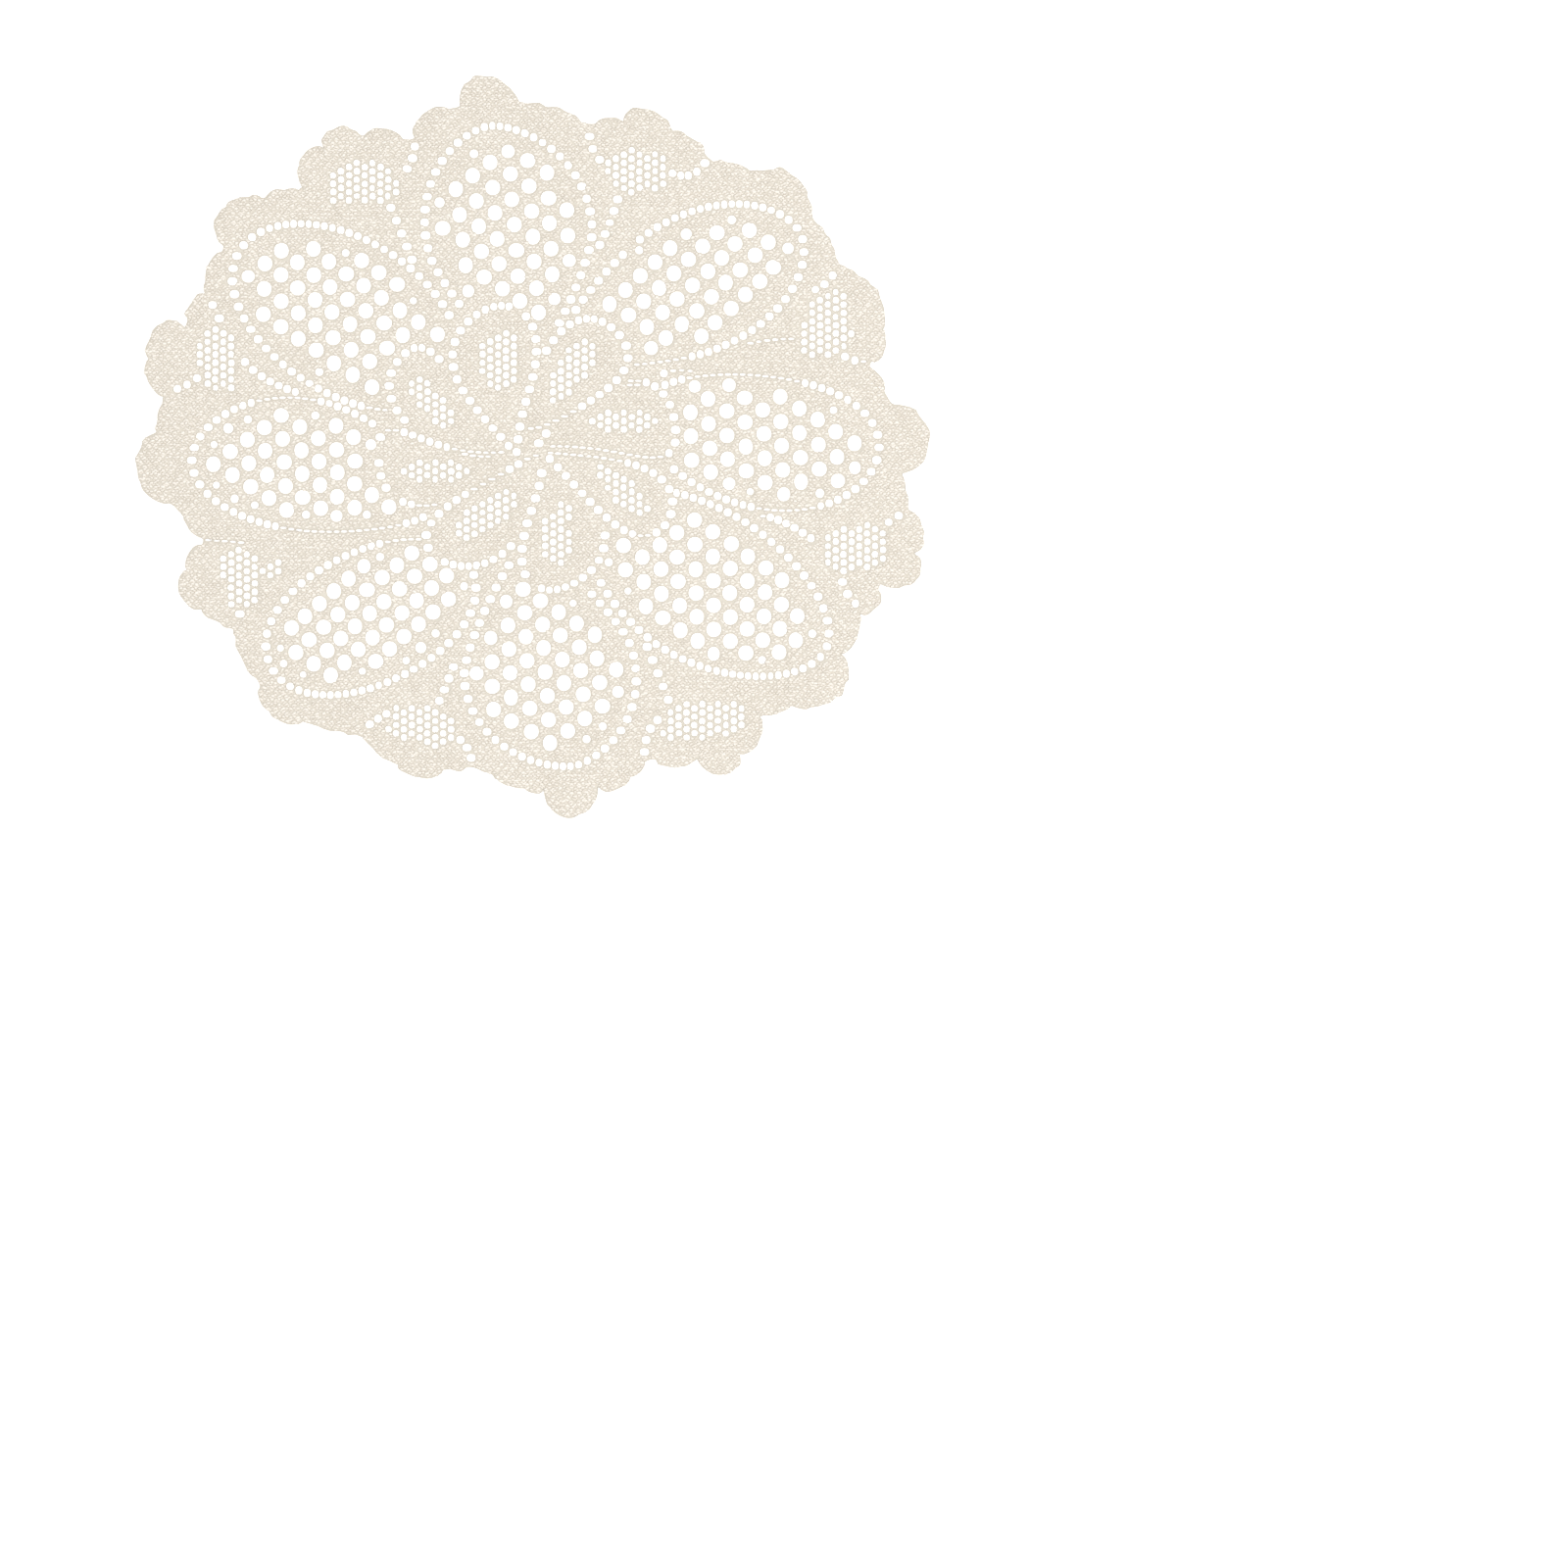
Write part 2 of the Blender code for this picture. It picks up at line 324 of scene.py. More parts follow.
PETAL_HOLES = {
    "top": Holes(-8, 72.5, 7, -4.5, 6.2, 5.1, -0.25),
    "upper_right": Holes(53, 54, 7.1, -4.4, 5.7, 5.2, 0.2),
    "right": Holes(85.5, 3, 7, -4.4, 6.7, 4.8, 0),
    "lower_right": Holes(66.5, -52.5, 6.6, -4.5, 6.5, 4.7, -0.3),
    "bottom": Holes(3, -87, 7, -4.3, 6.4, 4.7, 0.2),
    "lower_left": Holes(-63.5, -65, 6.6, -4.3, 5.5, 4.7, -0.2),
    "left": Holes(-89, -12, 6.8, -4.3, 6.4, 4.6, -0.2),
    "upper_left": Holes(-71, 44.5, 6.8, -4.6, 6.2, 5, 0.3),
}
# Steps of the pattern each way, and how far a hole's middle stays inside its
# petal's outline and outside the leaves
LATTICE_REACH = 9
PETAL_BAND = 4.3
LEAF_BAND = 3.0
# The radius right at that band, how fast it grows inwards, and the full radius
SMALLEST_HOLE = 1.4
HOLE_GROWTH = 0.6
HOLE_RADIUS = 2.82
# Holes are a little taller than wide, and vary in that and in place
HOLE_STRETCH = 1.02
STRETCH_SLACK = 0.025
HOLE_SLACK = 0.12


def petal_holes(name):
    """One petal's holes, smaller where they come near its ring."""
    row = PETAL_HOLES[name]
    steps = np.arange(-LATTICE_REACH, LATTICE_REACH + 1)
    down, up = (grid.ravel() for grid in np.meshgrid(steps, steps, indexing="ij"))
    x = row.x + down * row.down_x + up * row.up_x + row.splay * (down**2 - up**2) / 4
    y = row.y + down * row.down_y + up * row.up_y
    places = np.column_stack([x, y])
    depths = depths_inside(egg_outline(PETALS[name]), places)
    kept = (depths > PETAL_BAND) & (outside_leaves(places) > LEAF_BAND)
    radii = np.minimum(HOLE_RADIUS, SMALLEST_HOLE + HOLE_GROWTH * (depths - PETAL_BAND))[kept]
    places = places[kept] + chance.normal(0, HOLE_SLACK, (len(radii), 2))
    stretches = HOLE_STRETCH + chance.normal(0, STRETCH_SLACK, len(radii))
    return [
        Opening(*place, radius / stretch, radius * stretch, "hole")
        for place, radius, stretch in zip(places, radii, stretches)
    ]


holes = [hole for name in PETALS for hole in petal_holes(name)]
print("holes in the petals' patterns:", len(holes))

# %% [markdown]
# The single holes
#
# A real field of holes isn't perfect. Here and there, mostly where the knitting
# turns into the ring, a hole is missing or a smaller one stands off the pattern. No
# formula gives those, so a table names them one by one.

# %% The single holes
# Single holes that depart from the pattern, by place and radius. Each stands for
# any pattern hole that it lies on, and a radius of 0 leaves that one out.
Spot = namedtuple("Spot", "x y radius")
SPOTS = [
    Spot(-62.8, -11.4, 0),
    Spot(-91, 77.4, 0),
    Spot(98.9, -56.5, 0),
    Spot(119.6, 8.6, 0),
    Spot(60.8, 83.6, 0),
    Spot(28.8, -77.2, 0),
    Spot(-32, 105.3, 0),
    Spot(-34.6, 72, 0),
    Spot(10.8, 97.5, 0),
    Spot(12.3, -118.5, 0),
    Spot(-33, -68.5, 0),
    Spot(-11.1, 109.9, 2.5),
    Spot(-24, 109, 1.6),
    Spot(56.3, 78.6, 2.1),
    Spot(73.5, 84, 1.6),
    Spot(38.5, 72.5, 1.5),
    Spot(94.8, 73.2, 2.1),
    Spot(-46.9, 53.4, 1.3),
    Spot(-72.5, 71.5, 1.4),
    Spot(-82.5, 26.5, 1.5),
    Spot(43, 35.5, 2.6),
    Spot(59.5, 21, 2.3),
    Spot(72.5, 21.5, 2.5),
    Spot(112, 12, 1.4),
    Spot(80.5, -18.8, 1.3),
    Spot(104, -72.5, 1.5),
    Spot(85, -82.5, 1.5),
    Spot(34.3, -56.4, 1.3),
    Spot(27, -45.5, 1.5),
    Spot(13.5, -61, 1.3),
    Spot(18.6, -112.4, 1.5),
    Spot(24.7, -107.6, 1.5),
    Spot(30.5, -94.5, 2.2),
    Spot(-23, -87.5, 2.6),
    Spot(-38.5, -72.4, 1.5),
    Spot(-47.5, -42, 2.8),
    Spot(-59.5, -43.5, 1.5),
    Spot(-66.2, -86.7, 1.3),
    Spot(-88.6, -88, 1.2),
    Spot(-96, -83.8, 1.4),
    Spot(-97.2, -78, 1.3),
    Spot(-76, -28, 2.2),
    Spot(-87.5, -27.5, 1.5),
    Spot(-64.5, -27.5, 1.5),
    Spot(-106.9, -23.9, 1.4),
    Spot(-121.4, -16.3, 1.3),
    Spot(-122.3, -1, 1.3),
    Spot(-109.5, 8.5, 1.5),
    Spot(-84, 10, 1.5),
    Spot(-63, -1, 2),
]
# A hole of the pattern that is nearer than this to a row's place gives way
SPOT_REACH = 3.2


def apart_from_spots(hole):
    """Whether no single hole of the table stands at this hole's place."""
    return all(math.dist(hole[:2], spot[:2]) > SPOT_REACH for spot in SPOTS)


openings = [hole for hole in holes if apart_from_spots(hole)]
openings += [Opening(x, y, radius, radius, "hole") for x, y, radius in SPOTS if radius > 0]
print("holes with the single ones:", len(openings))

# %% [markdown]
# The patches of net
#
# Each leaf and each fan between two petals holds a patch of fine net. Net is
# knitted by moving every second stitch over, so its cells stand in columns about
# two stitches apart, two rows tall, and every second column is half a cell higher.
# One grid for the whole cloth, clipped to each patch, gives just that.

# %% The patches of net
LEAF_NETS = {
    "top": Egg(-12.5, 19, -15.5, 42, 8.5, 0.15, 0, 2.2),
    "upper_right": Egg(4, 15.5, 21, 37.5, 6.5, 0.3, 0, 2),
    "right": Egg(20, 7.5, 47, 8, 5, 0, 0, 2),
    "lower_right": Egg(22, -8.5, 42, -28, 5, 0, 0, 2),
    "bottom": Egg(10.5, -22, 5.5, -47, 7, 0.2, 0, 2),
    "lower_left": Egg(-8, -19, -31, -37, 6.5, 0, 0, 2),
    "left": Egg(-26, -11, -52, -11, 5, 0, 0, 2),
    "upper_left": Egg(-32, 6, -48, 24, 5, 0, 0, 2),
}
FAN_NETS = {
    "top": Egg(26.5, 98, 50.5, 103.5, 9, -0.25, 1.5, 3),
    "upper_right": Egg(107, 32, 110.5, 60.5, 9, -0.35, -1.5, 3),
    "right": Egg(108, -44.5, 133, -36, 9, 0, 0, 3),
    "lower_right": Egg(45, -107, 80, -103.5, 7.5, -0.15, 0, 3),
    "bottom": Egg(-59, -104.5, -31.5, -109, 7.5, 0.2, 0, 3),
    "lower_left": Egg(-111.5, -67, -112.5, -39.5, 7, 0.2, 0, 3),
    "lower_left_tail": Egg(-107, -49.5, -95.5, -46.5, 3, 0, 0, 3),
    "left": Egg(-120, 18.5, -121, 43.5, 8, 0, 0, 2.5),
    "upper_left": Egg(-80, 95.5, -52.5, 97, 8, 0, 2, 3),
}
CELL_COLUMN = 2.97
CELL_ROW = 3.15
# A cell's half sizes, how far it lies off its place, and how much smaller some are
CELL_WIDE = 1.32
CELL_TALL = 1.39
CELL_SLACK = 0.05
CELL_SHRINKAGE = 0.08
# How far a cell's middle stays inside its patch
NET_BORDER = 0.5


def shrunk(sizes, usual):
    """The sizes, each made smaller by a chance share of about the usual one."""
    return sizes * (1 - usual * np.abs(chance.normal(size=len(sizes))))


def net_cells(patch):
    """The cells of the one grid of net that lie inside a patch."""
    outline = egg_outline(patch)
    low, high = outline.min(axis=0), outline.max(axis=0)
    columns = np.arange(math.floor(low[0] / CELL_COLUMN), math.ceil(high[0] / CELL_COLUMN) + 1)
    rows = np.arange(math.floor(low[1] / CELL_ROW) - 1, math.ceil(high[1] / CELL_ROW) + 1)
    column, row = (grid.ravel() for grid in np.meshgrid(columns, rows))
    places = np.column_stack([column * CELL_COLUMN, (row + 0.5 * (column % 2)) * CELL_ROW])
    kept = places[depths_inside(outline, places) > NET_BORDER]
    kept += chance.normal(0, CELL_SLACK, kept.shape)
    wide = shrunk(np.full(len(kept), CELL_WIDE), CELL_SHRINKAGE)
    tall = shrunk(np.full(len(kept), CELL_TALL), CELL_SHRINKAGE)
    return [Opening(*place, *sizes, "cell") for place, *sizes in zip(kept, wide, tall)]


cells = [cell for patch in [*LEAF_NETS.values(), *FAN_NETS.values()] for cell in net_cells(patch)]
print("cells of net:", len(cells))

# %% [markdown]
# The lines of eyelets
#
# A line of eyelets rings every petal and leaf, and more lines run from the flower
# to the notches of the edge. The shape of an eyelet follows the knitting: where a
# line runs level it is a ladder of upright ovals, two stitches apart, and where it
# climbs it is a chain of wider ones, three rows apart. On slanting runs they stand a
# little further apart still. So the walk along a line measures its way in
# eyelets, not in millimetres. Near the middle of the flower, and in a level band
# through it, level runs pull shut to thin slits.

# %% The lines of eyelets
# A line runs from its start past a middle point to its end.
Line = namedtuple("Line", "x1 y1 x2 y2 x3 y3")

LINES = {
    "top_to_upper_left": [
        Line(-46.5, 114, -47, 108, -50.5, 101.5),
        Line(-56.5, 91, -52, 80.5, -46.5, 66.5),
    ],
    "top_to_upper_right": [
        Line(20, 118, 20.5, 112, 25, 105),
        Line(31, 94, 27, 82, 22.5, 72.5),
    ],
    "upper_right_to_edge": [
        Line(64.5, 107.5, 58, 101, 49.5, 102.5),
        Line(101.5, 88, 101.5, 86.5, 101.5, 85),
        Line(113, 65, 109, 60, 103.5, 57),
    ],
    "upper_right_to_right": [
        Line(79, 37, 88, 38.5, 97.5, 39),
        Line(125, 30.5, 119.5, 31, 114.5, 33.5),
        Line(27, 24, 37, 21.5, 46, 25),
        Line(46, 25, 52, 27, 59.5, 26.5),
    ],
    "right_to_lower_right": [
        Line(84, -28, 93, -30.3, 105, -37.5),
        Line(138.5, -26.5, 135, -29, 131, -31.5),
        Line(115, -50.5, 117, -57, 122, -62.5),
    ],
    "lower_right_to_bottom": [
        Line(40.5, -75, 45, -86, 50.5, -100),
        Line(47, -104, 42, -110, 40.5, -119.5),
    ],
    "bottom_to_lower_left": [
        Line(-31, -83, -34.5, -92, -38, -100),
        Line(-30.5, -112, -27, -115, -24.5, -121.5),
        Line(-55.5, -102, -60, -104.5, -65, -108),
    ],
    "lower_left_to_left": [
        Line(-112.5, -63, -112.8, -66.5, -114.5, -71),
        Line(-129, -36.8, -120, -37.4, -110.5, -38.2),
    ],
    "left_to_upper_left": [
        Line(-112, 32, -103, 24, -90, 18.5),
        Line(-127, 26, -131, 22.5, -138, 19.5),
        Line(-124.5, 54, -121.5, 49.5, -119.5, 44),
    ],
    "inner_flower": [
        Line(-34, 50, -31, 44, -30.4, 38),
        Line(-4, 20, -5.5, 10, 0.5, 2.5),
        Line(0, -4.5, 0.6, -12, 1, -19),
    ],
}
print("lines of eyelets:", sum(len(section) for section in LINES.values()))

# %% Walk along a line and set its eyelets
LINE_STEPS = 40
# Keeps a step without length from dividing by zero
TINY_STEP = 1e-9
LEVEL_PITCH = 2.8
STEEP_PITCH = 4.8
# Halfway between level and steep, this much is added
SLANT_PITCH = 0.5
# Half sizes of an eyelet, how much wider it is on steep runs, and how much smaller
# some are
EYELET_WIDE = 1.24
EYELET_TALL = 1.55
WIDER_ON_SLOPES = 0.62
EYELET_SHRINKAGE = 0.07
# Level runs are slits this near the middle, and quite level ones in a whole band
SLIT_REACH = 34
SLIT_SLOPE = 0.5
SLIT_BAND = 40
SLIT_BAND_SLOPE = 0.22
SLIT_TALL = 0.5


def line_points(line):
    """Points along the curve that a line takes through its middle point."""
    start, through, end = np.array(line).reshape(3, 2)
    pull = 2 * through - (start + end) / 2
    way = np.linspace(0, 1, LINE_STEPS)[:, None]
    return (1 - way) ** 2 * start + 2 * way * (1 - way) * pull + way**2 * end


def eyelets_along(points):
    """Eyelets at their own pitch along a run of points, shaped by its slope."""
    steps = np.diff(points, axis=0)
    lengths = np.hypot(*steps.T) + TINY_STEP
    level, steep = np.abs(steps.T) / lengths
    pitch = np.hypot(LEVEL_PITCH * level, STEEP_PITCH * steep)
    pitch += SLANT_PITCH * 2 * level * steep
    walked = np.concatenate([[0], np.cumsum(lengths / pitch)])
    count = max(1, round(walked[-1]))
    stops = (np.arange(count) + 0.5) * walked[-1] / count
    slope = np.interp(stops, walked[1:], steep)
    x, y = (np.interp(stops, walked, side) for side in points.T)
    slit = (np.hypot(x, y) < SLIT_REACH) & (slope < SLIT_SLOPE)
    slit |= (np.abs(y) < SLIT_BAND) & (slope < SLIT_BAND_SLOPE)
    wide = EYELET_WIDE + WIDER_ON_SLOPES * slope
    tall = np.where(slit, SLIT_TALL, EYELET_TALL)
    wide, tall = shrunk(wide, EYELET_SHRINKAGE), shrunk(tall, EYELET_SHRINKAGE)
    return [Opening(*row, "eyelet") for row in zip(x, y, wide, tall)]


print("points along a line:", len(line_points(LINES["inner_flower"][0])))

# %% [markdown]
# Room for every opening
#
# Where two lines meet, their eyelets would run into each other and cut a piece of
# cloth loose. So openings are set one after the other, the holes first, and each
# only where it leaves a bar of cloth round it. Holes are nearly round, eyelets are
# a little square where their yarns cross, and the cells of net have eight corners.

# %% Set the eyelets and the net where there is room
# How many corners each kind of opening has, and how square it is
Shape = namedtuple("Shape", "corners squareness")
SHAPES = {"hole": Shape(20, 2.1), "eyelet": Shape(12, 2.5), "cell": Shape(8, 2.3)}
# How far a petal's eyelets stay outside the leaves
LEAF_GAP = 1.5
# The least cloth between two openings, which is measured only between near ones
THINNEST_BAR = 0.26
NEAR = 7
# The least cloth between an opening and the edge
RIM = 0.6


def opening_loop(opening, inset=0):
    """The corners of one opening, clockwise, with its rim moved into the cloth."""
    shape = SHAPES[opening.kind]
    turns = -2 * np.pi * np.arange(shape.corners) / shape.corners
    cosine, sine = np.cos(turns), np.sin(turns)
    power = 2 / shape.squareness
    x = opening.x + (opening.wide + inset) * np.sign(cosine) * np.abs(cosine) ** power
    y = opening.y + (opening.tall + inset) * np.sign(sine) * np.abs(sine) ** power
    return np.column_stack([x, y])


def bar_between(first, second):
    """The width of the cloth left between two openings."""
    one, other = opening_loop(first), opening_loop(second)
    return -max(depths_inside(one, other).max(), depths_inside(other, one).max())


def add_where_free(placed, new):
    """Adds each new opening that leaves a bar of cloth round it."""
    for opening in new:
        near = [other for other in placed if math.dist(other[:2], opening[:2]) < NEAR]
        if all(bar_between(opening, other) > THINNEST_BAR for other in near):
            placed.append(opening)


def closed(points):
    """The loop with its first point again at its end."""
    return np.vstack([points, points[:1]])


for leaf in leaf_outlines:
    add_where_free(openings, eyelets_along(closed(leaf)))
for petal in PETALS.values():
    ring = eyelets_along(closed(egg_outline(petal)))
    clear = outside_leaves(np.array([eyelet[:2] for eyelet in ring])) > LEAF_GAP
    add_where_free(openings, [eyelet for eyelet, free in zip(ring, clear) if free])
for section in LINES.values():
    for line in section:
        add_where_free(openings, eyelets_along(line_points(line)))
add_where_free(openings, cells)

depths = depths_inside(edge, np.array([opening[:2] for opening in openings]))
openings = [
    opening
    for opening, depth in zip(openings, depths)
    if depth > max(opening.wide, opening.tall) + RIM
]
for kind in ("hole", "cell", "eyelet"):
    print(kind, sum(opening.kind == kind for opening in openings))

# %% [markdown]
# The ground of the cloth
#
# Between its openings the real lace is a web of yarn. It is built here from a thin
# ground, which the strands and stitches of the next steps thicken. Cutting 1500
# openings with a Boolean would take minutes and leave torn faces, so the ground is
# filled directly. The edge and every opening are closed loops in one plane, and a
# triangulation fills what lies between them. Copies of the loops, lower and lower,
# then give the ground its thickness and its bevelled rims.

# %% The loops of the edge and the openings
def inwards(points):
    """The direction into the cloth at each point of an anticlockwise loop."""
    along = np.roll(points, -1, axis=0) - np.roll(points, 1, axis=0)
    return np.column_stack([-along[:, 1], along[:, 0]]) / np.hypot(*along.T)[:, None]


def edge_loop(inset):
    """The edge of the cloth, moved inwards."""
    return edge + inset * inwards(edge)


def all_loops(inset):
    """The loops of the edge and every opening, moved into the cloth."""
    return [edge_loop(inset)] + [opening_loop(opening, inset) for opening in openings]


# %% Fill between the loops and give the ground its thickness
GROUND_THICKNESS = 0.34
GROUND_MIDDLE = CLOTH_THICKNESS / 2
RIM_ROUNDING = 0.12
# The triangulation's own number for keeping only what lies inside the loops
FILL_TRIANGLES_INSIDE = 1
FILL_NEARNESS = 1e-6


def make_mesh(name, points, faces):
    """A mesh from points in millimetres about the cloth's middle, and its object."""
    mesh = bpy.data.meshes.new(name)
    mesh.from_pydata((points * MM).tolist(), [], faces)
    mesh.validate()
    mesh.update()
    piece = bpy.data.objects.new(name, mesh)
    bpy.context.scene.collection.objects.link(piece)
    return piece


def next_points(loops):
    """For every point of some closed loops, the number of the point after it."""
    counts = [len(loop) for loop in loops]
    parts = np.split(np.arange(sum(counts)), np.cumsum(counts)[:-1])
    return np.concatenate([np.roll(part, -1) for part in parts])


def fill_between(loops):
    """Triangles that fill the first loop, except for the other loops' insides."""
    owner = np.repeat(np.arange(len(loops)), [len(loop) for loop in loops])
    index = np.arange(len(owner))
    following = next_points(loops)
    filled = delaunay_2d_cdt(
        [Vector(point) for point in np.vstack(loops)],
        np.column_stack([index, following]).tolist(),
        [],
        FILL_TRIANGLES_INSIDE,
        FILL_NEARNESS,
    )
    given_index = np.array([given[0] for given in filled[3]])
    triangles = given_index[np.array(filled[2])]
    owners = owner[triangles]
    in_opening = (owners[:, 0] > 0) & (np.ptp(owners, axis=1) == 0)
    return triangles[~in_opening], following


top, following = fill_between(all_loops(RIM_ROUNDING))
half = GROUND_THICKNESS / 2
# How far into the cloth each copy of the loops lies, and its height
rings = [
    (RIM_ROUNDING, half),
    (0, half - RIM_ROUNDING),
    (0, RIM_ROUNDING - half),
    (RIM_ROUNDING, -half),
]
layers = []
for inset, height in rings:
    flat = np.vstack(all_loops(inset)) - cloth_middle
    layers.append(np.column_stack([flat, np.full(len(flat), GROUND_MIDDLE + height)]))
count = len(following)
lowest = (len(rings) - 1) * count
faces = top.tolist() + (top[:, ::-1] + lowest).tolist()
here = np.arange(count)
for upper in range(0, lowest, count):
    lower = upper + count
    quads = np.column_stack([here + upper, here + lower, following + lower, following + upper])
    faces += quads.tolist()
ground = make_mesh("lace_ground", np.vstack(layers), faces)


def triangle_count(piece):
    """How many triangles the faces of a piece come to."""
    return sum(len(face.vertices) - 2 for face in piece.data.polygons)


print("ground triangles:", triangle_count(ground))

# %% Shade the ground smoothly, but for its rims
SMOOTH_UP_TO = 50
bpy.ops.object.select_all(action="DESELECT")
bpy.context.view_layer.objects.active = ground
ground.select_set(True)
bpy.ops.object.shade_smooth_by_angle(angle=math.radians(SMOOTH_UP_TO))
print("degrees up to which the ground is smooth:", SMOOTH_UP_TO)

# %% [markdown]
# The strand round every opening
#
# What holds an opening in knitting open is the yarn that runs round it: a hole has
# a raised rim, and the net is nothing but such strands, side by side. A curve with
# a round bevel would make one, but there are 1500 of them, so a strand is swept
# along each of the loops that are already there: four loops at small steps into
# the cloth, up and down, with strips of faces between. Every second point is a
# little higher, as in plied yarn. The outer edge has its strand too.

# %% Sweep a strand round every opening and the edge
# How far into the cloth a strand's middle lies, its half sizes, and its sides
STRAND_INSET = 0.17
STRAND_WIDE = 0.18
STRAND_HIGH = 0.46
STRAND_SIDES = 4
# The share by which its points are higher and lower by turns
PLY = 0.16


def smooth_mesh(name, points, faces):
    """A smoothly shaded piece, with its number of triangles printed."""
    piece = make_mesh(name, points, faces)
    piece.data.shade_smooth()
    print(name, triangle_count(piece))
    return piece


def strand_loops(kinds, inset):
    """The loops of the openings of these kinds, moved into the cloth."""
    loops = [opening_loop(opening, inset) for opening in openings if opening.kind in kinds]
    if "edge" in kinds:
        loops.append(edge_loop(inset))
    return loops


def sweep_strands(name, kinds):
    """One mesh of all strands round openings of these kinds."""
    following = next_points(strand_loops(kinds, 0))
    here = np.arange(len(following))
    heights = STRAND_HIGH * (1 + PLY * (-1.0) ** here)
    layers, faces = [], []
    for side in range(STRAND_SIDES):
        turn = 2 * np.pi * side / STRAND_SIDES
        inset = STRAND_INSET + STRAND_WIDE * math.cos(turn)
        flat = np.vstack(strand_loops(kinds, inset)) - cloth_middle
        layers.append(np.column_stack([flat, GROUND_MIDDLE + heights * math.sin(turn)]))
        this, beside = side * len(here), (side + 1) % STRAND_SIDES * len(here)
        quads = [here + this, here + beside, following + beside, following + this]
        faces += np.column_stack(quads).tolist()
    return smooth_mesh(name, np.vstack(layers), faces)


rim_strands = sweep_strands("rim_strands", ("hole", "eyelet", "edge"))
net_strands = sweep_strands("net_strands", ("cell",))

# %% [markdown]
# The curls in the net
#
# A cell of net isn't quite empty: the loop that was moved over to open it hangs in
# its lower half, as a thin curl from the cell's foot to its side. Each is a part of
# a ring whose middle lies towards a lower corner, swept with three sides. They
# lean left or right by turns, and are hardly more than specks from where the
# camera is, but without them the net looks punched.

# %% Sweep a curl into every cell
# How far down and aside of its cell's middle a curl's own middle lies
CURL_CORNER = 0.85
CURL_RADIUS = 0.82
CURL_SLACK = 0.12
CURL_THICK = 0.1
CURL_SIDES = 3
# Where on its ring a curl starts and ends, in degrees, and its points
CURL_FOOT = -75
CURL_END = 165
CURL_POINTS = 8
CURL_ANGLES = np.radians(np.linspace(CURL_FOOT, CURL_END, CURL_POINTS))


def curl_mesh(name, net):
    """One mesh of thin curls, one in each cell of the net."""
    middles = np.array([[cell.x, cell.y] for cell in net]) - cloth_middle
    leans = np.where(np.arange(len(net)) % 2, 1, -1)
    radii = CURL_RADIUS + chance.normal(0, CURL_SLACK, len(net))
    sides = 2 * np.pi * np.arange(CURL_SIDES) / CURL_SIDES
    reach = radii[:, None, None] + CURL_THICK * np.cos(sides)
    points = np.empty((len(net), len(CURL_ANGLES), CURL_SIDES, 3))
    points[..., 0] = reach * np.cos(CURL_ANGLES)[:, None] - CURL_CORNER
    points[..., 0] *= leans[:, None, None]
    points[..., 1] = reach * np.sin(CURL_ANGLES)[:, None] - CURL_CORNER
    points[..., :2] += middles[:, None, None]
    points[..., 2] = GROUND_MIDDLE + CURL_THICK * np.sin(sides)
    faces = []
    for number, lean in enumerate(leans):
        first = number * len(CURL_ANGLES) * CURL_SIDES
        last = first + (len(CURL_ANGLES) - 1) * CURL_SIDES
        curl = [[first + side for side in range(CURL_SIDES)][::-1]]
        curl.append([last + side for side in range(CURL_SIDES)])
        for ring in range(first, last, CURL_SIDES):
            for side in range(CURL_SIDES):
                this, beside = ring + side, ring + (side + 1) % CURL_SIDES
                curl.append([this, beside, beside + CURL_SIDES, this + CURL_SIDES])
        faces += [face[::-1] for face in curl] if lean > 0 else curl
    return smooth_mesh(name, points.reshape(-1, 3), faces)


net_curls = curl_mesh("net_curls", [opening for opening in openings if opening.kind == "cell"])

# %% [markdown]
# One stitch
#
# Seen close, the plain parts of the cloth are level rows of short yarn bumps. Each
# stitch shows a bump, long or short by turns, and half a stitch aside a smaller loop
# that sinks between the rows. All are one grain of yarn, like a grain of rice, at
# three sizes. The grain is modelled once, from a sphere with very few faces, because
# it will be repeated tens of thousands of times.

# %% One grain of yarn
GRAIN_SEGMENTS = 4
GRAIN_RINGS = 3
QUARTER_TURN = math.radians(90)
bpy.ops.object.select_all(action="DESELECT")
bpy.ops.mesh.primitive_uv_sphere_add(segments=GRAIN_SEGMENTS, ring_count=GRAIN_RINGS, radius=1)
grain = bpy.context.object
bpy.ops.object.mode_set(mode="EDIT")
bpy.ops.mesh.select_all(action="SELECT")
bpy.ops.transform.rotate(value=QUARTER_TURN, orient_axis="Y", center_override=(0, 0, 0))
bpy.ops.mesh.quads_convert_to_tris()
bpy.ops.mesh.normals_make_consistent(inside=False)
bpy.ops.object.mode_set(mode="OBJECT")
grain_points = np.array([vertex.co for vertex in grain.data.vertices])
grain_faces = np.array([face.vertices for face in grain.data.polygons])
bpy.data.objects.remove(grain, do_unlink=True)
print("grain points:", len(grain_points), "grain triangles:", len(grain_faces))
print("grain reaches:", np.ptp(grain_points, axis=0).round(2))

# %% [markdown]
# Where the stitches go
#
# The stitches stand on the knitting machine's own grid, 1.4 mm from column to
# column and 1.6 mm from row to row. A hand would lay them with two Array
# modifiers, but an array can't leave out the openings, so the grid is made here
# and each grain is kept only if it lies on cloth. Small seeded differences in
# place, turn, size and tint keep it from looking printed, and the rows wander a
# little, as cloth does after washing.

# %% The grid of stitches
STITCH_WIDE = 1.4
STITCH_TALL = 1.6
